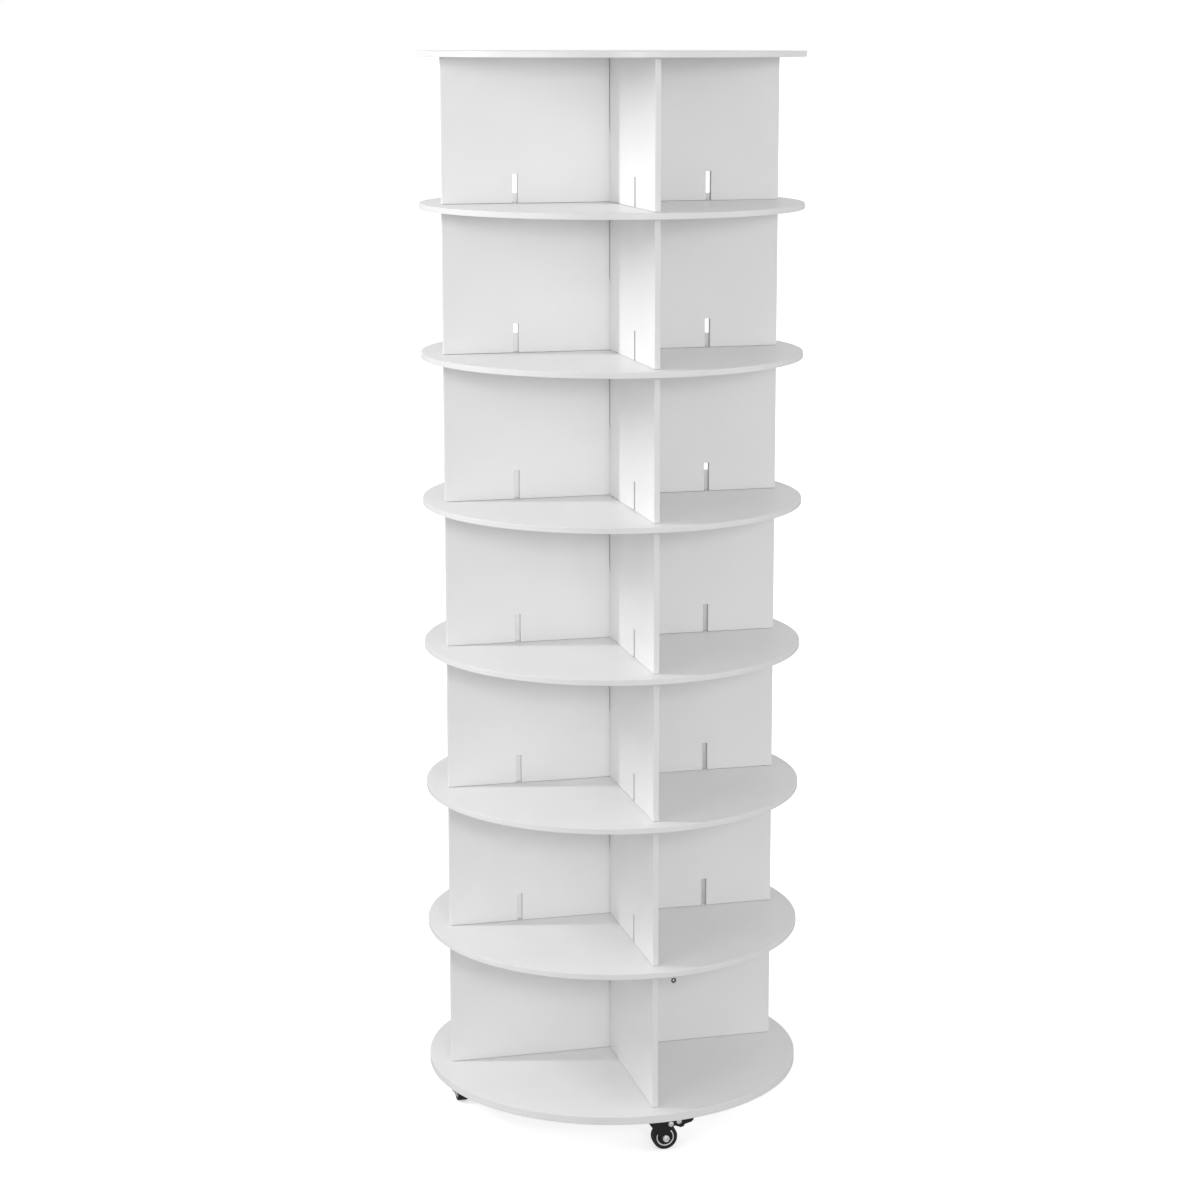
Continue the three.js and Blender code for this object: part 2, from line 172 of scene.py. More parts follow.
class StageLooks(bpy.types.PropertyGroup):
    """The camera, the lights and the room"""

    floor: colour("Floor", (0.88, 0.88, 0.88), "Colour of the floor")
    camera_distance: length("Camera distance", 4.1829, "Distance from the tower's axis")
    camera_height: length("Camera height", 1.7067, "Height of the camera above the floor")
    camera_turn: rotation("Camera turn", -14.4, "Turn of the camera round the tower")
    camera_tilt: rotation("Camera tilt", 10.8, "How far the camera looks down")
    lens: FloatProperty(
        name="Lens", description="Focal length", default=80.08, unit="CAMERA", precision=3
    )
    sensor: FloatProperty(
        name="Sensor", description="Width of the sensor", default=36.0, unit="CAMERA", precision=3
    )
    shift: FloatVectorProperty(
        name="Shift",
        description="Shift of the image to the right and up, in image widths",
        default=(-0.0100, -0.0408),
        size=2,
        precision=4,
    )
    key: power("Key", 50.0, "Power of the narrow light at the left")
    front: power("Front", 29.0, "Power of the small light beside the camera")
    left: power("Left front", 31.0, "Power of the broad light in front at the left")
    right: power("Right", 16.0, "Power of the broad light at the right")
    walls: share("Walls", 1.0, "Brightness of the room's walls")
    ceiling: share("Ceiling", 0.57, "Brightness of the room's ceiling")
    ground: share("Ground", 0.50, "Brightness of the light that comes back from the ground")
    near_glow: share("Near glow", 0.52, "Glow of the floor near the tower")
    far_glow: share("Far glow", 0.90, "Glow of the floor towards the walls")


GROUPS = {
    "tower_boards": BoardLooks,
    "tower_fittings": FittingLooks,
    "tower_casters": CasterLooks,
    "tower_stage": StageLooks,
}


# Shaders


class Wire:
    """A socket in a shader. Arithmetic on it adds Math nodes, and node() adds any other node."""

    def __init__(self, tree, socket=None):
        self.tree = tree
        self.socket = socket

    def node(self, kind, settings=None, inputs=None, output=0):
        """Add a node, set it up, give its sockets values or links, and return one output."""
        made = self.tree.nodes.new(kind)
        for name, value in (settings or {}).items():
            setattr(made, name, value)
        for name, value in (inputs or {}).items():
            if isinstance(value, Wire):
                self.tree.links.new(value.socket, made.inputs[name])
            else:
                made.inputs[name].default_value = value
        return Wire(self.tree, made.outputs[output]) if made.outputs else None

    def maths(self, operation, *values):
        return self.node("ShaderNodeMath", {"operation": operation}, dict(enumerate(values)))

    def __add__(self, other):
        return self.maths("ADD", self, other)

    def __radd__(self, other):
        return self.maths("ADD", other, self)

    def __sub__(self, other):
        return self.maths("SUBTRACT", self, other)

    def __rsub__(self, other):
        return self.maths("SUBTRACT", other, self)

    def __mul__(self, other):
        return self.maths("MULTIPLY", self, other)

    def __rmul__(self, other):
        return self.maths("MULTIPLY", other, self)


def noise(place, scale, detail=2.0, roughness=0.5):
    """A noise between 0 and 1 whose grain is about one unit over its scale."""
    return place.node(
        "ShaderNodeTexNoise",
        {"noise_dimensions": "3D"},
        {"Vector": place, "Scale": scale, "Detail": detail, "Roughness": roughness},
    )


def stretched(place, x, y, z):
    """The place with each axis scaled, so that a noise on it is drawn out."""
    return place.node("ShaderNodeMapping", None, {"Vector": place, "Scale": (x, y, z)}, "Vector")


def mixed(mask, first, second):
    """first where mask is 0, and second where it is 1."""
    return mask.node("ShaderNodeMix", {"data_type": "RGBA"}, {0: mask, 6: first, 7: second}, 2)


def masked(value, low, high):
    """0 below low, 1 above high and smooth between them."""
    return value.node(
        "ShaderNodeMapRange",
        {"interpolation_type": "SMOOTHSTEP", "clamp": True},
        {"Value": value, "From Min": low, "From Max": high},
    )


def shade(tone, factor):
    """A colour made lighter or darker, with alpha 1."""
    return (*(min(1.0, channel * factor) for channel in tone), 1.0)


def new_material(name, paint, *values):
    """A material whose Principled shader has the sockets that paint(place, *values) gives."""
    made = bpy.data.materials.new(name)
    made.use_nodes = True
    made.node_tree.nodes.clear()
    place = Wire(made.node_tree).node("ShaderNodeTexCoord", output="Object")
    surface = place.node("ShaderNodeBsdfPrincipled", None, paint(place, *values))
    place.node("ShaderNodeOutputMaterial", None, {"Surface": surface})
    return made


def bumped(place, height, distance, strength):
    """A normal for a surface whose height of 0 to 1 stands for the distance."""
    return place.node(
        "ShaderNodeBump", None, {"Height": height, "Distance": distance, "Strength": strength}
    )


def film_paint(place, tone, roughness):
    """White satin film: faint clouding, fine pores, and a sheen that varies with handling."""
    clouds = noise(place, 7.0, 3.0)
    pores = noise(place, 900.0, 2.0)
    roller = noise(stretched(place, 60.0, 60.0, 8.0), 1.0, 2.0)
    wiped = noise(stretched(place, 3.0, 3.0, 14.0), 1.0, 4.0, 0.6)
    return {
        "Base Color": mixed(masked(clouds, 0.3, 0.7), shade(tone, 0.985), shade(tone, 1.01)),
        "Roughness": (wiped - 0.5) * 0.06 + (roughness + 0.01 * (pores - 0.5)),
        "Normal": bumped(place, pores * 0.6 + roller, 0.03 * MM, 0.5),
        "IOR": 1.48,
    }


def band_paint(place, tone):
    """A glued plastic strip: slightly glossier than the film, with fine lines along it."""
    lines = noise(stretched(place, 20.0, 20.0, 2500.0), 1.0, 2.0)
    smudge = noise(place, 24.0, 3.0)
    return {
        "Base Color": mixed(masked(smudge, 0.35, 0.75), shade(tone, 1.01), shade(tone, 0.98)),
        "Roughness": 0.30 + 0.08 * smudge,
        "Normal": bumped(place, lines, 0.02 * MM, 0.6),
        "IOR": 1.5,
    }


def cut_paint(place, tone):
    """A sawn edge under a thin coat of paint, with the board's fibres showing through."""
    fibres = noise(stretched(place, 300.0, 300.0, 1400.0), 1.0, 4.0, 0.7)
    specks = masked(noise(place, 1600.0, 1.0), 0.66, 0.72)
    return {
        "Base Color": mixed(specks * 0.5, shade(tone, 1.0), shade(tone, 0.72)),
        "Roughness": 0.62 + 0.16 * fibres,
        "Normal": bumped(place, fibres, 0.12 * MM, 0.8),
    }


def zinc_paint(place, tone):
    """Zinc-plated steel: a cool and a warm tint in patches, with fine scratches."""
    patches = noise(place, 260.0, 3.0)
    scratches = noise(stretched(place, 400.0, 3000.0, 900.0), 1.0, 2.0)
    cool = shade((tone[0] * 0.96, tone[1], tone[2] * 1.03), 0.94)
    warm = shade((tone[0] * 1.03, tone[1] * 1.01, tone[2] * 0.95), 1.06)
    return {
        "Base Color": mixed(masked(patches, 0.35, 0.65), cool, warm),
        "Metallic": 1.0,
        "Roughness": 0.29 + 0.10 * scratches,
        "Normal": bumped(place, scratches, 0.01 * MM, 0.5),
    }


def steel_paint(place, tone):
    """Black paint on pressed steel: a fine orange peel, and dust in its hollows."""
    peel = noise(place, 700.0, 2.0)
    dust = masked(noise(place, 90.0, 5.0, 0.7), 0.60, 0.80)
    return {
        "Base Color": mixed(dust * 0.5, shade(tone, 1.0), shade(tone, 3.2)),
        "Roughness": 0.34 + 0.10 * peel + 0.22 * dust,
        "Normal": bumped(place, peel, 0.04 * MM, 0.5),
        "Specular IOR Level": 0.35,
    }


def hub_paint(place, tone):
    """Moulded black plastic with a fine spark-eroded grain."""
    grain = noise(place, 2400.0, 2.0)
    sheen = noise(place, 120.0, 3.0)
    return {
        "Base Color": mixed(masked(sheen, 0.4, 0.8), shade(tone, 1.0), shade(tone, 1.7)),
        "Roughness": 0.38 + 0.14 * sheen,
        "Normal": bumped(place, grain, 0.02 * MM, 0.7),
        "Specular IOR Level": 0.4,
    }


def silver_paint(place, tone):
    """A bright metallised ring with turned lines and a few dull spots."""
    dull = masked(noise(place, 180.0, 4.0), 0.55, 0.75)
    lines = noise(place, 1800.0, 1.0)
    return {
        "Base Color": mixed(dull * 0.6, shade(tone, 1.05), shade(tone, 0.85)),
        "Metallic": 1.0,
        "Roughness": 0.16 + 0.08 * dull,
        "Normal": bumped(place, lines, 0.006 * MM, 0.5),
    }


def rubber_paint(place, tone, roughness, dustiness):
    """Moulded rubber, with pale dust where it has rolled."""
    grain = noise(place, 1500.0, 3.0, 0.6)
    dust = masked(noise(place, 260.0, 5.0, 0.7), 0.45, 0.75) * dustiness
    return {
        "Base Color": mixed(dust, shade(tone, 1.0), shade(tone, 5.0)),
        "Roughness": roughness + 0.12 * grain,
        "Normal": bumped(place, grain, 0.06 * MM, 0.7),
        "Specular IOR Level": 0.35,
    }


def floor_paint(place, tone, near_glow, far_glow):
    """A pale flat floor with a painted glow that grows with its distance, standing in for a floor
    that sweeps up into a lit wall.
    """
    grain = noise(place, 60.0, 4.0)
    distance = place.node("ShaderNodeVectorMath", {"operation": "LENGTH"}, {0: place}, "Value")
    far = masked(distance, 0.5, 4.0)
    return {
        "Base Color": mixed(grain, shade(tone, 0.995), shade(tone, 1.005)),
        "Roughness": 0.85 + 0.05 * grain,
        "Specular IOR Level": 0.2,
        # Painted glow: the floor's emission rises from the near glow to the far glow with its
        # distance
        "Emission Color": mixed(far, (near_glow,) * 3 + (1,), (far_glow,) * 3 + (1,)),
        "Emission Strength": 1.0,
    }


# Meshes


def finished(shape):
    """A mesh from a bmesh, smooth but for its sharp edges."""
    bmesh.ops.remove_doubles(shape, verts=shape.verts, dist=WELD)
    bmesh.ops.recalc_face_normals(shape, faces=shape.faces)
    made = bpy.data.meshes.new("mesh")
    shape.to_mesh(made)
    shape.free()
    made.shade_smooth()
    made.set_sharp_from_angle(angle=SHARP)
    return made


def arc(cx, cy, radius, start, end, steps):
    """Points of an arc about (cx, cy), both ends among them."""
    turn = (end - start) / steps
    return [
        (cx + radius * math.cos(start + i * turn), cy + radius * math.sin(start + i * turn))
        for i in range(steps + 1)
    ]


def dome(radius, flank, top, steps=8):
    """Half the section of a domed head, from its flank to just short of its top."""
    return [
        (radius * math.cos(t), flank + (top - flank) * math.sin(t))
        for t in (math.pi * i / (2 * steps) for i in range(steps))
    ]


def mirrored(half):
    """The other half of a section, mirrored about height 0 and in reverse order."""
    return [(radius, -height, *rounding) for radius, height, *rounding in reversed(half)]


def middle_of(low, high):
    """The X and Z of a box's middle."""
    return (low.x + high.x) / 2, (low.z + high.z) / 2


def rounded(corners, steps=4, closed=True):
    """An outline from (x, y, radius) corners, each rounded by its radius where that fits."""
    points = []
    for i, (x, y, radius) in enumerate(corners):
        here = Vector((x, y))
        if radius == 0 or (not closed and i in (0, len(corners) - 1)):
            points.append((x, y))
            continue
        back = Vector(corners[i - 1][:2]) - here
        ahead = Vector(corners[(i + 1) % len(corners)][:2]) - here
        half = back.angle(ahead) / 2
        reach = min(radius / math.tan(half), 0.49 * min(back.length, ahead.length))
        inward = (back.normalized() + ahead.normalized()).normalized()
        centre = here + inward * (reach / math.cos(half))
        start = here + back.normalized() * reach - centre
        end = here + ahead.normalized() * reach - centre
        first = math.atan2(start.y, start.x)
        sweep = math.atan2(end.y, end.x) - first
        sweep = (sweep + math.pi) % (2 * math.pi) - math.pi
        points += arc(centre.x, centre.y, start.length, first, first + sweep, steps)
    return points


def turned(profile, steps, closed=False):
    """A bmesh of (radius, height) points turned about Z.

    closed joins the last point to the first.
    """
    shape = bmesh.new()
    rings = []
    for radius, height in profile:
        if radius == 0:
            rings.append([shape.verts.new((0, 0, height))] * steps)
            continue
        turns = [2 * math.pi * i / steps for i in range(steps)]
        rings.append(
            [shape.verts.new((radius * math.cos(t), radius * math.sin(t), height)) for t in turns]
        )
    pairs = list(zip(rings, rings[1:])) + ([(rings[-1], rings[0])] if closed else [])
    for low, high in pairs:
        for i in range(steps):
            j = (i + 1) % steps
            corners = [low[i], low[j], high[j], high[i]]
            face = [v for k, v in enumerate(corners) if v not in corners[:k]]
            if len(face) > 2:
                shape.faces.new(face)
    return shape


def prism(outline, low, high, axis="Y"):
    """A bmesh of an outline given thickness along an axis.

    The outline's own axes are the other two, in the order of the alphabet.
    """
    place = {
        "X": lambda u, v, w: (w, u, v),
        "Y": lambda u, v, w: (u, w, v),
        "Z": lambda u, v, w: (u, v, w),
    }[axis]
    shape = bmesh.new()
    sides = [[shape.verts.new(place(u, v, w)) for u, v in outline] for w in (low, high)]
    shape.faces.new(sides[0])
    shape.faces.new(sides[1])
    for i in range(len(outline)):
        j = (i + 1) % len(outline)
        shape.faces.new([sides[0][i], sides[0][j], sides[1][j], sides[1][i]])
    bmesh.ops.recalc_face_normals(shape, faces=shape.faces)
    return shape


def bevelled(shape, width, bend=math.radians(40)):
    """The bmesh with its edges rounded where they bend by more than bend."""
    edges = [e for e in shape.edges if e.is_manifold and e.calc_face_angle(0) > bend]
    bmesh.ops.bevel(
        shape,
        geom=edges,
        offset=width,
        segments=2,
        profile=0.5,
        affect="EDGES",
        clamp_overlap=True,
    )
    return shape


def placed(shape, matrix):
    """The bmesh moved by the matrix."""
    bmesh.ops.transform(shape, matrix=matrix, verts=shape.verts)
    return shape


def gathered(*shapes):
    """One bmesh that holds all the shapes."""
    whole = shapes[0]
    for shape in shapes[1:]:
        mesh = bpy.data.meshes.new("part")
        shape.to_mesh(mesh)
        shape.free()
        whole.from_mesh(mesh)
        bpy.data.meshes.remove(mesh)
    return whole


def worked(base, operation, *tools):
    """The bmesh base with each tool joined to it, cut from it or kept in common with it."""
    for tool in tools:
        objects = []
        for shape in (base, tool):
            mesh = bpy.data.meshes.new("part")
            shape.to_mesh(mesh)
            shape.free()
            objects.append(bpy.data.objects.new("part", mesh))
            bpy.context.scene.collection.objects.link(objects[-1])
        modifier = objects[0].modifiers.new("work", "BOOLEAN")
        modifier.operation = operation
        modifier.solver = "EXACT"
        modifier.object = objects[1]
        bpy.context.view_layer.update()
        result = objects[0].evaluated_get(bpy.context.evaluated_depsgraph_get())
        base = bmesh.new()
        base.from_mesh(result.to_mesh())
        result.to_mesh_clear()
        for used in objects:
            mesh = used.data
            bpy.data.objects.remove(used)
            bpy.data.meshes.remove(mesh)
    return base


def hexagon(radius):
    """The corners of a hexagon about the origin."""
    return arc(0, 0, radius, 0, 2 * math.pi * (HEX_SIDES - 1) / HEX_SIDES, HEX_SIDES - 1)


def along_y(shape, x=0.0, z=0.0):
    """A shape turned about Z laid along Y, with its +Z end at -Y."""
    return placed(shape, Matrix.Translation((x, 0, z)) @ Matrix.Rotation(math.pi / 2, 4, "X"))


def bar(radius, low, high, steps, x=0.0, z=0.0):
    """A round bar along Y, from low to high."""
    return along_y(turned([(0, -high), (radius, -high), (radius, -low), (0, -low)], steps), x, z)


def new_piece(name, mesh, materials, body, stands_for=()):
    """A piece that rides on a body, takes its finish from a slot and stands for CAD nodes."""
    piece = bpy.data.objects.new(name, mesh)
    bpy.context.scene.collection.objects.link(piece)
    for material in materials:
        mesh.materials.append(bpy.data.materials[material])
    weighted = piece.modifiers.new("Even shading", "WEIGHTED_NORMAL")
    weighted.keep_sharp = True
    weighted.weight = 80
    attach(piece, body)
    if stands_for:
        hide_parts(*stands_for)


def pan_head(looks):
    """A screw head that sits on a face at height 0: a low dome with a cross recess."""
    radius, height = looks.head_radius, looks.head_height
    foot = [(0, 0), (0.96 * radius, 0), (radius, 0.15 * height)]
    head = turned([*foot, *dome(radius, 0.45 * height, height), (0, height)], HEAD_STEPS)
    return worked(head, "DIFFERENCE", *cross_tools(looks, 0.55 * height, height + OVERRUN))


def cross_tools(looks, floor, top):
    """The two bars that cut a screw's cross recess, from floor to top."""
    across, along = looks.cross_width / 2, looks.cross_length / 2
    tools = []
    for x, y in ((across, along), (along, across)):
        tools.append(prism([(-x, -y), (x, -y), (x, y), (-x, y)], floor, top, "Z"))
    return tools


def flush_head(looks):
    """A countersunk head, a little proud of a face at height 0, with a cross recess."""
    radius, proud = looks.head_radius, looks.cap_proud
    recess = 1.2 * MM
    cone = [(0, -radius), (0.35 * radius, -radius), (radius, -proud), (radius, 0.5 * proud)]
    head = turned([*cone, (0.9 * radius, proud), (0, proud)], HEAD_STEPS)
    return worked(head, "DIFFERENCE", *cross_tools(looks, -recess, proud + OVERRUN))


# The boards and what holds them


class TOWER_OT_materials(bpy.types.Operator):
    """Make the finishes of the boards, fittings and casters"""

    bl_idname = "shoe_tower.materials"
    bl_label = "Materials"

    def execute(self, context):
        boards = context.scene.tower_boards
        casters = context.scene.tower_casters
        new_material("white_film", film_paint, boards.film, boards.film_roughness)
        new_material("edge_band", band_paint, boards.band)
        new_material("cut_edge", cut_paint, boards.cut)
        new_material("zinc", zinc_paint, context.scene.tower_fittings.zinc)
        new_material("black_paint", steel_paint, casters.black)
        new_material("hub_plastic", hub_paint, casters.hub)
        new_material("silver_ring", silver_paint, casters.silver)
        new_material("tyre_wall", rubber_paint, casters.rubber, 0.55, 0.08)
        new_material("tyre_tread", rubber_paint, casters.rubber, 0.70, 0.30)
        return {"FINISHED"}


def disc_profile(radius, low, high, arris):
    """Half the section of a disc with rounded arrises, from the middle of its underside."""
    corners = [(0, low, 0), (radius, low, arris), (radius, high, arris), (0, high, 0)]
    section = rounded(corners, 4, closed=False)
    flat = radius - 2 * arris
    return [section[0], (flat, low), *section[1:-1], (flat, high), section[-1]]


class TOWER_OT_discs(bpy.types.Operator):
    """Make the base, the shelves and the top"""

    bl_idname = "shoe_tower.discs"
    bl_label = "Discs"

    def execute(self, context):
        looks = context.scene.tower_boards
        for node in DISCS:
            low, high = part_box(node)
            profile = disc_profile(high.x, low.z, high.z, looks.disc_arris)
            mesh = finished(turned(profile, looks.disc_steps))
            rim = high.x - 1.05 * looks.disc_arris
            for face in mesh.polygons:
                middle = face.center
                face.material_index = int(math.hypot(middle.x, middle.y) > rim)
            new_piece(
                f"{node}_panel", mesh, ["white_film", "edge_band"], "tower", [node]
            )
        return {"FINISHED"}


def board_outline(half, height, looks, slotted, notch_half, notch_at_top):
    """A divider board's outline: its foot slots, and the notch where it is halved."""
    slot = looks.slot_width / 2
    rise = looks.slot_height

    def opening(middle, reach, end):
        left, right = middle - reach, middle + reach
        return [(left, 0), (left, end), (right, end), (right, 0)]

    points = [(-half, 0)]
    if slotted:
        points += opening(-looks.screw_circle, slot, rise)
    if not notch_at_top:
        points += opening(0, notch_half, height / 2)
    if slotted:
        points += opening(looks.screw_circle, slot, rise)
    points += [(half, 0), (half, height)]
    if notch_at_top:
        cut = opening(0, notch_half, height / 2)
        points += [(x, height - z) for x, z in reversed(cut)]
    return points + [(-half, height)]


class TOWER_OT_dividers(bpy.types.Operator):
    """Make the crossed divider boards of each tier"""

    bl_idname = "shoe_tower.dividers"
    bl_label = "Divider boards"

    def execute(self, context):
        looks = context.scene.tower_boards
        for tier in TIERS:
            for level in ("lower", "upper"):
                node = f"tier_{tier}_{level}_board"
                low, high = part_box(node)
                lower = level == "lower"
                half = high.x if lower else high.y
                thick = high.y if lower else high.x
                outline = board_outline(
                    half, high.z - low.z, looks, tier > 1, thick + looks.lap_gap, lower
                )
                board = bevelled(prism(outline, -thick, thick), looks.board_arris)
                if node == "tier_1_lower_board":
                    board = self.bored(board, low.z)
                spin = Matrix.Rotation(0 if lower else math.pi / 2, 4, "Z")
                mesh = finished(placed(board, Matrix.Translation((0, 0, low.z)) @ spin))
                self.dress(mesh, half, lower)
                new_piece(
                    f"{node}_panel",
                    mesh,
                    ["white_film", "edge_band", "cut_edge"],
                    "tower",
                    [node],
                )
        return {"FINISHED"}

    @staticmethod
    def bored(board, foot):
        """The lowest board with a blind hole for each barrel nut."""
        gap, reach = 0.2 * MM, 2 * MM
        tools = []
        for side, face in NUT_FACES.items():
            low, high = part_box(f"barrel_nut_{side}")
            x, z = middle_of(low, high)
            radius = (high.x - low.x) / 2 + gap
            ends = (low.y - reach, high.y) if face < 0 else (low.y, high.y + reach)
            tools.append(bar(radius, *ends, HEAD_STEPS, x, z - foot))
        return worked(board, "DIFFERENCE", *tools)

    @staticmethod
    def dress(mesh, half, lower):
        """Band on the two ends, paint on the other cut edges and film on both faces."""
        end = half - 1 * MM
        for face in mesh.polygons:
            across = face.normal.y if lower else face.normal.x
            along = face.center.x if lower else face.center.y
            if abs(across) < 0.5:
                face.material_index = 1 if abs(along) > end else 2


class TOWER_OT_screws(bpy.types.Operator):
    """Make the screws of each disc"""

    bl_idname = "shoe_tower.screws"
    bl_label = "Disc screws"

    def execute(self, context):
        looks = context.scene.tower_fittings
        radius = context.scene.tower_boards.screw_circle
        for node in DISCS:
            low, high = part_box(node)
            flush = node in ("base_disc", "top_disc")
            flip = Matrix.Rotation(math.pi if node == "base_disc" else 0, 4, "X")
            height = low.z if node == "base_disc" else high.z
            screws = []
            for i in range(4):
                turn = i * math.pi / 2
                head = flush_head(looks) if flush else pan_head(looks)
                spot = (radius * math.cos(turn), radius * math.sin(turn), height)
                # Driven home, each screw's cross stops at a turn of its own
                spin = Matrix.Rotation(turn * 1.3 + 0.4 + DISCS.index(node), 4, "Z")
                screws.append(placed(head, Matrix.Translation(spot) @ flip @ spin))
            mesh = finished(gathered(*screws))
            new_piece(f"{node}_screws", mesh, ["zinc"], "tower")
        return {"FINISHED"}


class TOWER_OT_tie_fittings(bpy.types.Operator):
    """Make the tie bolts and their barrel nuts"""

    bl_idname = "shoe_tower.tie_fittings"
    bl_label = "Tie bolts"

    def execute(self, context):
        steps = context.scene.tower_fittings.turned_steps
        for side, face in NUT_FACES.items():
            low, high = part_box(f"barrel_nut_{side}")
            self.nut(side, low, high, face, steps)
            low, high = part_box(f"tie_bolt_{side}")
            self.bolt(side, low, high, steps)
        return {"FINISHED"}

    @staticmethod
    def nut(side, low, high, face, steps):
        """A barrel nut whose rim, sunk ring and raised middle face out of the board; the sunk ring
        is painted black as painted shade.
        """
        radius = (high.x - low.x) / 2
        depth = high.y - low.y
        back_ease, front_ease, groove, sunk = 0.4 * MM, 0.3 * MM, 1.8 * MM, 0.1 * MM
        profile = [
            (0, 0),
            (radius - back_ease, 0),
            (radius, back_ease),
            (radius, depth - front_ease),
            (radius - front_ease, depth),
            (0.84 * radius, depth),
            (0.80 * radius, depth - groove),
            (0.42 * radius, depth - groove),
            (0.36 * radius, depth - front_ease),
            (0.26 * radius, depth - sunk),
            (0, depth - sunk),
        ]
        middle = (low + high) / 2
        body = along_y(turned(profile, steps))
        spot = Vector((middle.x, high.y if face < 0 else low.y, middle.z))
        spin = Matrix.Rotation(0 if face < 0 else math.pi, 4, "Z")
        mesh = finished(placed(body, Matrix.Translation(spot) @ spin))
        # Painted shade: the faces down in the sunk ring take black paint, darker than the recess
        # alone would look
        for cell in mesh.polygons:
            away = cell.center - spot
            painted_shade_ring = 0.36 < math.hypot(away.x, away.z) / radius < 0.86
            cell.material_index = int(painted_shade_ring and abs(away.y) < depth - sunk)
        name = f"barrel_nut_{side}"
        new_piece(f"{name}_turned", mesh, ["zinc", "black_paint"], "tower", [name])

    @staticmethod
    def bolt(side, low, high, steps):
        """A tie bolt with a socket head, seen from under the base."""
        radius = (high.x - low.x) / 2
        rise = high.z - low.z
        shank, head, ease = 2.5 * MM, 3.7 * MM, 0.5 * MM
        point, point_rise = shank - 0.8 * MM, 1 * MM
        socket_radius, socket_depth = 2.3 * MM, 2.4 * MM
        profile = [
            (0, 0),
            (radius - ease, 0),
            (radius, ease),
            (radius, head),
            (shank, head),
            (shank, rise - point_rise),
            (point, rise),
            (0, rise),
        ]
        socket = prism(hexagon(socket_radius), -OVERRUN, socket_depth, "Z")
        body = worked(turned(profile, steps), "DIFFERENCE", socket)
        middle = (low + high) / 2
        mesh = finished(placed(body, Matrix.Translation((middle.x, middle.y, low.z))))
        name = f"tie_bolt_{side}"
        new_piece(f"{name}_turned", mesh, ["zinc"], "tower", [name])


# Casters. Each piece is made with the kingpin on the Z axis and the wheel trailing along +X.


def kingpin_spot(name):
    """The spot on the floor under a caster's kingpin."""
    low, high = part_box(f"caster_{name}_race")
    return Vector(((low.x + high.x) / 2, (low.y + high.y) / 2, 0))


def caster_box(kind):
    """A node's box on the front caster, measured from its kingpin."""
    pin = kingpin_spot("front")
    low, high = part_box(f"caster_front_{kind}")
    return low - pin, high - pin


def caster_place(name):
    """Where a piece made about the origin goes on a caster."""
    return Matrix.Translation(kingpin_spot(name)) @ Matrix.Rotation(TRAILS[name], 4, "Z")


def on_casters(piece, make, materials, ride_on, node, names=tuple(TRAILS)):
    """One piece on each named caster.

    What rides on the tower stays square to it, and the rest trails as the caster does. A
    second material goes on the outermost faces round the axle.
    """
    for name in names:
        place = caster_place(name)
        fixed = ride_on == "tower"
        if fixed:
            place = Matrix.Translation(place.translation)
        mesh = finished(placed(make(), place))
        if len(materials) > 1:
            mark_tread(mesh, place)
        body = ride_on if fixed else f"{name}_{ride_on}"
        stands_for = [f"caster_{name}_{node}"] if node else ()
        new_piece(f"caster_{name}_{piece}", mesh, materials, body, stands_for)


def mark_tread(mesh, place):
    """Give the second material to the tread of a tyre that was put in its place."""
    x, z = wheel_centre()
    tread = caster_box("tyre")[1].z / 2 - 0.6 * MM
    back = place.inverted()
    for face in mesh.polygons:
        spot = back @ face.center - Vector((x, 0, z))
        face.material_index = int(math.hypot(spot.x, spot.z) > tread)


def wheel_centre():
    """The X and Z of the axle."""
    return middle_of(*caster_box("tyre"))


def plate_shape():
    """The top plate: rounded corners, and a pressed ring round the kingpin."""
    low, high = caster_box("plate")
    corner, ease = 4 * MM, 0.5 * MM
    inner, root, outer = 9 * MM, 18 * MM, 17 * MM
    drop, overlap = 0.6 * MM, 1 * MM
    outline = rounded([(x * high.x, y * high.x, corner) for x, y in CORNERS], 6)
    plate = bevelled(prism(outline, low.z, high.z, "Z"), ease)
    above, below = low.z + overlap, low.z - drop
    section = [(inner, above), (root, above), (outer, below), (inner, below)]
    return worked(plate, "UNION", turned(section, ROUND_STEPS, True))


def plate_screws(looks):
    """Four pan-head screws, driven up through the plate."""
    foot = caster_box("plate")[0].z
    spread = 15.5 * MM
    heads = []
    for x, y in CORNERS:
        flip = Matrix.Rotation(math.pi, 4, "X") @ Matrix.Rotation(x + 0.5 * y, 4, "Z")
        spot = Matrix.Translation((x * spread, y * spread, foot))
        heads.append(placed(pan_head(looks), spot @ flip))
    return gathered(*heads)


def race_shape():
    """Two pressed cups with a groove between them."""
    low, high = caster_box("race")
    wall, taper, shoulder = 7 * MM, 0.6 * MM, 2.4 * MM
    groove, mouth, floor, lip, root = 1.6 * MM, 0.5 * MM, 0.4 * MM, 1.2 * MM, 0.2 * MM
    outer = high.x
    inner = outer - wall
    middle = (low.z + high.z) / 2
    corners = [
        (inner, low.z, 0),
        (outer - taper, low.z, shoulder),
        (outer, middle - mouth, lip),
        (outer - groove, middle - floor, root),
        (outer - groove, middle + floor, root),
        (outer, middle + mouth, lip),
        (outer - taper, high.z, shoulder),
        (inner, high.z, 0),
    ]
    return turned(rounded(corners, 5), RACE_STEPS, True)


def kingpin_shape():
    """The kingpin's rivet head under the fork's crown, and its shank."""
    low, high = caster_box("kingpin")
    radius = high.x
    shank = 4 * MM
    head = 2.8 * MM
    dome = [
        (radius * math.sin(t), low.z + head * 0.62 * (1 - math.cos(t)))
        for t in (math.pi * i / 16 for i in range(1, 9))
    ]
    top = low.z + head
    shaft = [(radius, top), (shank, top), (shank, high.z), (0, high.z)]
    return turned([(0, low.z), *dome, *shaft], PIN_STEPS)


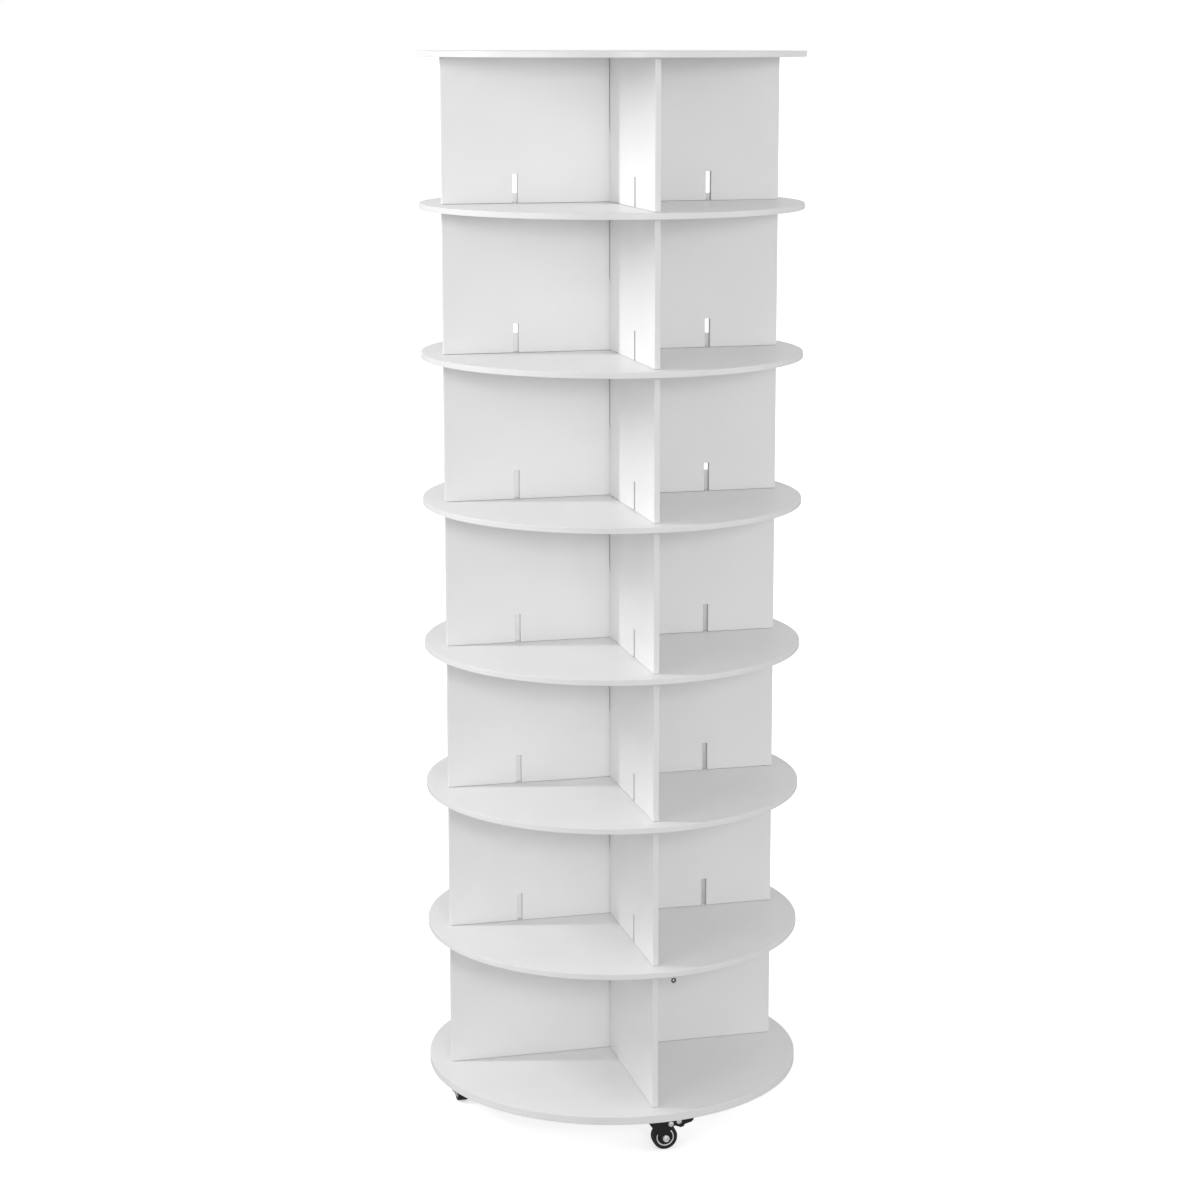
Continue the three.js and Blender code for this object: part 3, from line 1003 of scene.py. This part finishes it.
def fork_outline(looks):
    """The side view of the fork: straight leading edge, toe, hollow throat and brake lobe."""
    axle_x, axle_z = wheel_centre()
    pin_x, pin_z = middle_of(*caster_box("brake_pin"))
    top = caster_box("fork")[1].z
    dx, dz = axle_x + looks.heel_reach, axle_z - top
    lead = math.atan2(dz, dx) - math.asin(looks.toe_radius / math.hypot(dx, dz))
    toe = arc(axle_x, axle_z, looks.toe_radius, lead - math.pi / 2, math.pi / 6, 14)
    lobe = arc(pin_x, pin_z, looks.lobe_radius, -math.pi / 4, math.pi / 6, 8)
    throat = Vector((pin_x - looks.lobe_radius / 3, (axle_z + pin_z) / 2 + looks.toe_radius / 3))
    start = Vector(toe[-1])
    end = Vector((pin_x + looks.lobe_radius / 2, pin_z - looks.lobe_radius))
    curve = []
    for i in range(1, 9):
        t = i / 8
        spot = start * (1 - t) ** 2 + throat * 2 * t * (1 - t) + end * t**2
        curve.append((spot.x, spot.y))
    return [(-looks.heel_reach, top), *toe, *curve, *lobe[1:], (pin_x, top)]


def channel(half, top, sheet, radius, foot, low, high):
    """A U-shaped bent sheet, open below, with its length along X."""
    tightest = 0.2 * MM
    inner = max(radius - sheet, tightest)
    corners = [
        (-half, foot, 0),
        (-half, top, radius),
        (half, top, radius),
        (half, foot, 0),
        (half - sheet, foot, 0),
        (half - sheet, top - sheet, inner),
        (sheet - half, top - sheet, inner),
        (sheet - half, foot, 0),
    ]
    return prism(rounded(corners, 5), low, high, "X")


def fork_shape(looks):
    """One stamping: two legs bent down from a web, and a round crown under the race."""
    low, high = caster_box("fork")
    ease = 0.3 * MM
    sheet, radius, crown = looks.fork_sheet, looks.bend_radius, -low.x
    half = caster_box("wheel")[1].y + looks.seat_gap + sheet
    bent = channel(half, high.z, sheet, radius, 0, low.x, high.x + OVERRUN)
    side = prism(fork_outline(looks), -2 * half, 2 * half)
    under, rim = high.z - sheet, 0.9 * (sheet / 2)
    section = [(0, under, 0), (crown, under, rim), (crown, high.z, rim), (0, high.z, 0)]
    plate = turned(rounded(section, 4, closed=False), RACE_STEPS)
    whole = worked(worked(bent, "INTERSECT", side), "UNION", plate)
    return bevelled(whole, ease, SHEET_BEND)


def axle_shape():
    """The axle: a domed head and a washer at the back, a lock nut round the bolt's end in front."""
    low, high = caster_box("axle")
    x, z = wheel_centre()
    shank, ease, back_inset = 3 * MM, 0.5 * MM, 1 * MM
    radius, washer = 5.3 * MM, 0.8 * MM
    nut_height, chamfer, chamfer_round = 4.2 * MM, 1.1 * MM, 0.6 * MM
    insert_width, insert_depth = 0.9 * MM, 1.6 * MM
    face = -low.y - nut_height
    seat = face + washer
    nut_top = face + nut_height - ease

    back = back_inset - high.y
    tip = [(0, back), (shank, back), (shank, -low.y - ease), (shank - ease, -low.y), (0, -low.y)]
    shaft = along_y(turned(tip, HEAD_STEPS), x, z)
    washers = [bar(radius, *ends, PIN_STEPS, x, z) for ends in ((-seat, -face), (face, seat))]

    flank = face + nut_height - chamfer
    cone = [(0, face, 0), (radius, face, 0), (radius, flank, chamfer_round)]
    cone = rounded([*cone, (radius * 0.8, nut_top, 0), (0, nut_top, 0)], 3, closed=False)
    nut = prism(hexagon(radius), seat, nut_top, "Z")
    nut = worked(nut, "INTERSECT", turned(cone, ROUND_STEPS))
    # The groove over the lock nut's insert
    inner, outer = shank - ease, shank + insert_width
    floor, top = face + nut_height - insert_depth, face + nut_height
    groove = [(inner, floor), (outer, floor), (outer, top), (inner, top)]
    nut = along_y(worked(nut, "DIFFERENCE", turned(groove, ROUND_STEPS, True)), x, z)

    head_radius, flank = radius * 0.92, seat + (high.y - seat) * 0.35
    top = dome(head_radius, flank, high.y)
    head = turned([(0, seat), (head_radius, seat), *top, (0, high.y)], PIN_STEPS)
    head = placed(along_y(head), Matrix.Rotation(math.pi, 4, "Z"))
    head = placed(head, Matrix.Translation((x, 0, z)))
    return gathered(shaft, *washers, nut, head)


def ring_shape(looks):
    """The silver ring: a rounded bead at each side, joined through the wheel."""
    x, z = wheel_centre()
    low, high = caster_box("wheel")
    outer = (high.x - low.x) / 2
    inner = outer - looks.rim_width
    setback, bead = 0.4 * MM, 1.1 * MM
    half = caster_box("tyre")[1].y - setback
    corners = [
        (inner, -half, bead),
        (outer, -half, bead),
        (outer, half, bead),
        (inner, half, bead),
    ]
    return along_y(turned(rounded(corners, 6), WHEEL_STEPS, True), x, z)


def hub_shape(looks):
    """The black hub: a web with a raised step and a long boss."""
    x, z = wheel_centre()
    low, high = caster_box("wheel")
    outer = (high.x - low.x) / 2 - looks.rim_width
    bore, boss, boss_round, draft, foot_round = 3.3 * MM, 6.4 * MM, 0.6 * MM, 0.3 * MM, 0.3 * MM
    step_rise, step_round, step_slope, root_round = 2.2 * MM, 0.7 * MM, 0.5 * MM, 0.4 * MM
    overlap = 0.3 * MM
    step_half = looks.web_half + step_rise
    half = [
        (bore, high.y, 0),
        (boss, high.y, boss_round),
        (boss + draft, step_half, foot_round),
        (looks.hub_step, step_half, step_round),
        (looks.hub_step + step_slope, looks.web_half, root_round),
        (outer + overlap, looks.web_half, 0),
    ]
    return along_y(turned(rounded(half + mirrored(half), 4), WHEEL_STEPS, True), x, z)


def tyre_shape(looks):
    """The tyre: a slightly crowned tread, round shoulders and a fine parting line."""
    x, z = wheel_centre()
    high = caster_box("tyre")[1]
    outer = high.z - z
    inner = outer - looks.tyre_depth
    half = high.y
    seat_round, wall, wall_round = 0.4 * MM, 1.4 * MM, 0.3 * MM
    crown, draft, shoulder = 0.25 * MM, 0.2 * MM, 3 * MM
    line_half, line_rise, line_round = 0.35 * MM, 0.12 * MM, 0.1 * MM
    side = [
        (inner, half, seat_round),
        (inner + wall, half, wall_round),
        (outer - crown, half - draft, shoulder),
        (outer - line_rise, line_half, line_round),
        (outer, 0, line_round),
    ]
    section = rounded(side + mirrored(side[:-1]), 6)
    return along_y(turned(section, WHEEL_STEPS, True), x, z)


def pin_shape(looks):
    """The brake pin, with a domed head at each side of the fork."""
    low, high = caster_box("brake_pin")
    shank = 2.2 * MM
    return rivet(looks, *middle_of(low, high), shank, high.y)


def rivet(looks, x, z, shank, reach):
    """A shank along Y with a domed head at each end, out to reach."""
    radius, height = looks.rivet_radius, looks.rivet_height
    seat = reach - height
    top = dome(radius, seat + 0.25 * height, reach, 7)
    half = [(shank, seat), (radius, seat), *top, (0, reach)]
    return along_y(turned(mirrored(half) + half, HEAD_STEPS), x, z)


# The radius of the bar that presses the tread, and how far it stands ahead of the brake's pin
BRAKE_NOSE = 1.6 * MM
NOSE_REACH = 15.6 * MM


def pedal_outlines():
    """The side views of the brake's cheeks and of its top plate."""
    low, high = caster_box("brake_pedal")
    x, z = middle_of(*caster_box("brake_pin"))
    eye, nose = 4 * MM, BRAKE_NOSE
    sheet, depth, nose_width = 1.8 * MM, 7.4 * MM, 6 * MM
    neck_reach, neck_drop = 5 * MM, 3.8 * MM
    lip_round, nose_round, knee_round, tip_round, edge_round = (
        size * MM for size in (1.0, 1.2, 2.0, 2.6, 0.6)
    )
    top, tip = z + eye, high.x
    nose_x, nose_z = x + NOSE_REACH, low.z
    nose_end = nose_x + nose_width
    knee = nose_end + nose
    edge = [
        (x + neck_reach, z - neck_drop, 0),
        (nose_x - nose, nose_z + nose, lip_round),
        (nose_x, nose_z, nose_round),
        (nose_end, nose_z + nose, nose_round),
        (knee, top - depth, knee_round),
        (tip - depth / 2, high.z - depth, tip_round),
        (tip, high.z - depth / 2, tip_round),
        (tip - sheet, high.z, edge_round),
        (knee, top, 0),
    ]
    cheek = [*arc(x, z, eye, math.pi / 2, 5 * math.pi / 3, 14), *rounded(edge, 4, closed=False)]
    plate = [
        (x + eye, top - sheet),
        (knee, top - sheet),
        (tip - sheet, high.z - sheet),
        (tip - sheet, high.z),
        (knee, top),
        (x + eye, top),
    ]
    return cheek, plate


def pedal_shape(looks):
    """The brake: two cheeks beside the tyre, a plate over them, a nose bar and a rolled tip."""
    low, high = caster_box("brake_pedal")
    ease, bite, plate_inset = 0.25 * MM, 0.5 * MM, 0.2 * MM
    roll, roll_back, roll_down = 2.6 * MM, 0.1 * MM, 0.3 * MM
    nose, pin_head = BRAKE_NOSE, 3.6 * MM
    nose_x = caster_box("brake_pin")[0].x + pin_head + NOSE_REACH
    outside = caster_box("wheel")[1].y
    inside = outside - looks.cheek
    reach = inside + bite
    roll_x, roll_z = high.x - roll - roll_back, high.z - roll - roll_down
    cheek, plate = pedal_outlines()
    cheeks = [prism(cheek, inside, outside), prism(cheek, -outside, -inside)]
    bars = [
        bar(nose, -reach, reach, BAR_STEPS, nose_x, low.z + nose),
        bar(roll, -reach, reach, BAR_STEPS, roll_x, roll_z),
    ]
    plate = prism(plate, plate_inset - outside, outside - plate_inset)
    whole = worked(plate, "UNION", *cheeks, *bars)
    return bevelled(whole, ease, SHEET_BEND)


def pedal_rivet_shape(looks):
    """The rivet through the brake's cheeks, near its nose."""
    x, z = middle_of(*caster_box("brake_pin"))
    ahead, above, shank = 13.9 * MM, 2.2 * MM, 1.6 * MM
    return rivet(looks, x + ahead, z + above, shank, caster_box("brake_pedal")[1].y)


class TOWER_OT_caster_mounts(bpy.types.Operator):
    """Make the plates, races, kingpins and screws that hold the casters to the base"""

    bl_idname = "shoe_tower.caster_mounts"
    bl_label = "Caster mounts"

    def execute(self, context):
        fittings = context.scene.tower_fittings
        screws = functools.partial(plate_screws, fittings)
        on_casters("top_plate", plate_shape, ["black_paint"], "tower", "plate")
        on_casters("plate_screws", screws, ["zinc"], "tower", None)
        on_casters("ball_race", race_shape, ["black_paint"], "tower", "race")
        on_casters("rivet", kingpin_shape, ["zinc"], "tower", "kingpin")
        return {"FINISHED"}


class TOWER_OT_forks(bpy.types.Operator):
    """Make the forks and their axles"""

    bl_idname = "shoe_tower.forks"
    bl_label = "Forks and axles"

    def execute(self, context):
        fork = functools.partial(fork_shape, context.scene.tower_casters)
        on_casters("yoke", fork, ["black_paint"], "swivel", "fork")
        on_casters("axle_bolt", axle_shape, ["zinc"], "swivel", "axle")
        return {"FINISHED"}


class TOWER_OT_wheels(bpy.types.Operator):
    """Make the silver rings, hubs and tyres"""

    bl_idname = "shoe_tower.wheels"
    bl_label = "Wheels"

    def execute(self, context):
        looks = context.scene.tower_casters
        ring, hub, tyre = (
            functools.partial(form, looks) for form in (ring_shape, hub_shape, tyre_shape)
        )
        on_casters("ring", ring, ["silver_ring"], "roller", "wheel")
        on_casters("hub", hub, ["hub_plastic"], "roller", "wheel")
        on_casters("rubber", tyre, ["tyre_wall", "tyre_tread"], "roller", "tyre")
        return {"FINISHED"}


class TOWER_OT_brakes(bpy.types.Operator):
    """Make the brakes of the braked casters"""

    bl_idname = "shoe_tower.brakes"
    bl_label = "Brakes"

    def execute(self, context):
        looks = context.scene.tower_casters
        for piece, form, material, ride_on, slot, node in (
            ("brake_rivet", pin_shape, "zinc", "swivel", "zinc_steel", "brake_pin"),
            ("brake_lever", pedal_shape, "black_paint", "brake", "black_steel", "brake_pedal"),
            ("brake_nose_rivet", pedal_rivet_shape, "zinc", "brake", "zinc_steel", None),
        ):
            make = functools.partial(form, looks)
            on_casters(piece, make, [material], ride_on, node, BRAKED)
        return {"FINISHED"}


def soft_light(name, spot, target, width, height, watts):
    """A rectangular lamp at a spot, aimed at a target."""
    lamp = bpy.data.lights.new(name, "AREA")
    lamp.shape = "RECTANGLE"
    lamp.size = width
    lamp.size_y = height
    lamp.energy = watts
    made = bpy.data.objects.new(name, lamp)
    bpy.context.scene.collection.objects.link(made)
    made.location = spot
    made.rotation_euler = (Vector(target) - Vector(spot)).to_track_quat("-Z", "Y").to_euler()


# Each light's place and size. Places are measured to the right of, beyond and above the
# tower's foot, as the camera sees it.
LAMPS = {
    "key": ((-2.8, -0.15, 2.45), (0.12, 1.4)),
    "front": ((0.9, -4.0, 1.9), (0.6, 0.5)),
    "left": ((-2.6, -3.2, 2.2), (1.8, 2.4)),
    "right": ((3.2, -0.6, 1.6), (1.8, 2.6)),
}
LIT_SPOT = (0, 0, 0.9)

# Where the room changes, as the sine of the height angle
WALL_TOP = (0.18, 0.32)
GROUND_EDGE = (-0.06, -0.02)

FLOOR_REACH = 400.0


class TOWER_OT_stage(bpy.types.Operator):
    """Make the floor, the lights and the camera"""

    bl_idname = "shoe_tower.stage"
    bl_label = "Stage"

    def execute(self, context):
        looks = context.scene.tower_stage
        front = Matrix.Rotation(looks.camera_turn, 4, "Z")
        self.floor(looks)
        self.room(looks)
        for name, (spot, size) in LAMPS.items():
            soft_light(name, front @ Vector(spot), LIT_SPOT, *size, getattr(looks, name))
        self.camera(context.scene, looks, front)
        context.scene.view_settings.view_transform = "Standard"
        return {"FINISHED"}

    @staticmethod
    def floor(looks):
        """A floor that reaches to the horizon."""
        ground = bmesh.new()
        bmesh.ops.create_grid(ground, x_segments=1, y_segments=1, size=FLOOR_REACH)
        mesh = bpy.data.meshes.new("floor")
        ground.to_mesh(mesh)
        ground.free()
        floor = bpy.data.objects.new("floor", mesh)
        bpy.context.scene.collection.objects.link(floor)
        glows = looks.near_glow, looks.far_glow
        mesh.materials.append(new_material("floor", floor_paint, looks.floor, *glows))
        # The room's ground lights the tower, so the floor can be white without adding to it
        floor.visible_diffuse = False
        floor.visible_glossy = False

    @staticmethod
    def room(looks):
        """A white room: bright walls, a dimmer ceiling and the light that the ground gives back."""
        world = bpy.data.worlds.new("white room")
        bpy.context.scene.world = world
        world.use_nodes = True
        world.node_tree.nodes.clear()
        aim = Wire(world.node_tree).node("ShaderNodeTexCoord", output="Generated")
        rise = aim.node("ShaderNodeSeparateXYZ", None, {"Vector": aim}, "Z")
        overhead = masked(rise, *WALL_TOP)
        under = 1 - masked(rise, *GROUND_EDGE)
        dimmer, lower = looks.walls - looks.ceiling, looks.walls - looks.ground
        strength = looks.walls - dimmer * overhead - lower * under
        lit = {"Color": (1, 1, 1, 1), "Strength": strength}
        light = aim.node("ShaderNodeBackground", None, lit)
        aim.node("ShaderNodeOutputWorld", None, {"Surface": light})

    @staticmethod
    def camera(scene, looks, front):
        """The camera looks a little down, which keeps its shift small."""
        lens = bpy.data.cameras.new("camera")
        lens.lens = looks.lens
        lens.sensor_width = looks.sensor
        lens.shift_x, lens.shift_y = looks.shift
        camera = bpy.data.objects.new("camera", lens)
        scene.collection.objects.link(camera)
        camera.location = front @ Vector((0, -looks.camera_distance, looks.camera_height))
        camera.rotation_euler = (math.pi / 2 - looks.camera_tilt, 0, looks.camera_turn)
        scene.camera = camera


class VIEW3D_PT_shoe_tower(bpy.types.Panel):
    """Lists the operators and their sizes"""

    bl_label = "Shoe tower"
    bl_idname = "VIEW3D_PT_shoe_tower"
    bl_space_type = "VIEW_3D"
    bl_region_type = "UI"
    bl_category = "Shoe tower"

    def draw(self, context):
        for group, looks in GROUPS.items():
            box = self.layout.box()
            for name in looks.__annotations__:
                box.prop(getattr(context.scene, group), name)
        for operator in OPERATORS:
            self.layout.operator(operator.bl_idname)


OPERATORS = (
    TOWER_OT_materials,
    TOWER_OT_discs,
    TOWER_OT_dividers,
    TOWER_OT_screws,
    TOWER_OT_tie_fittings,
    TOWER_OT_caster_mounts,
    TOWER_OT_forks,
    TOWER_OT_wheels,
    TOWER_OT_brakes,
    TOWER_OT_stage,
)
CLASSES = (*GROUPS.values(), *OPERATORS, VIEW3D_PT_shoe_tower)


def register():
    for made in CLASSES:
        bpy.utils.register_class(made)
    for group, looks in GROUPS.items():
        setattr(bpy.types.Scene, group, PointerProperty(type=looks))


def unregister():
    for group in GROUPS:
        delattr(bpy.types.Scene, group)
    for made in reversed(CLASSES):
        bpy.utils.unregister_class(made)


def main():
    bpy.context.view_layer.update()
    register()
    for operator in OPERATORS:
        group, name = operator.bl_idname.split(".")
        getattr(getattr(bpy.ops, group), name)()


if __name__ == "__main__":
    main()
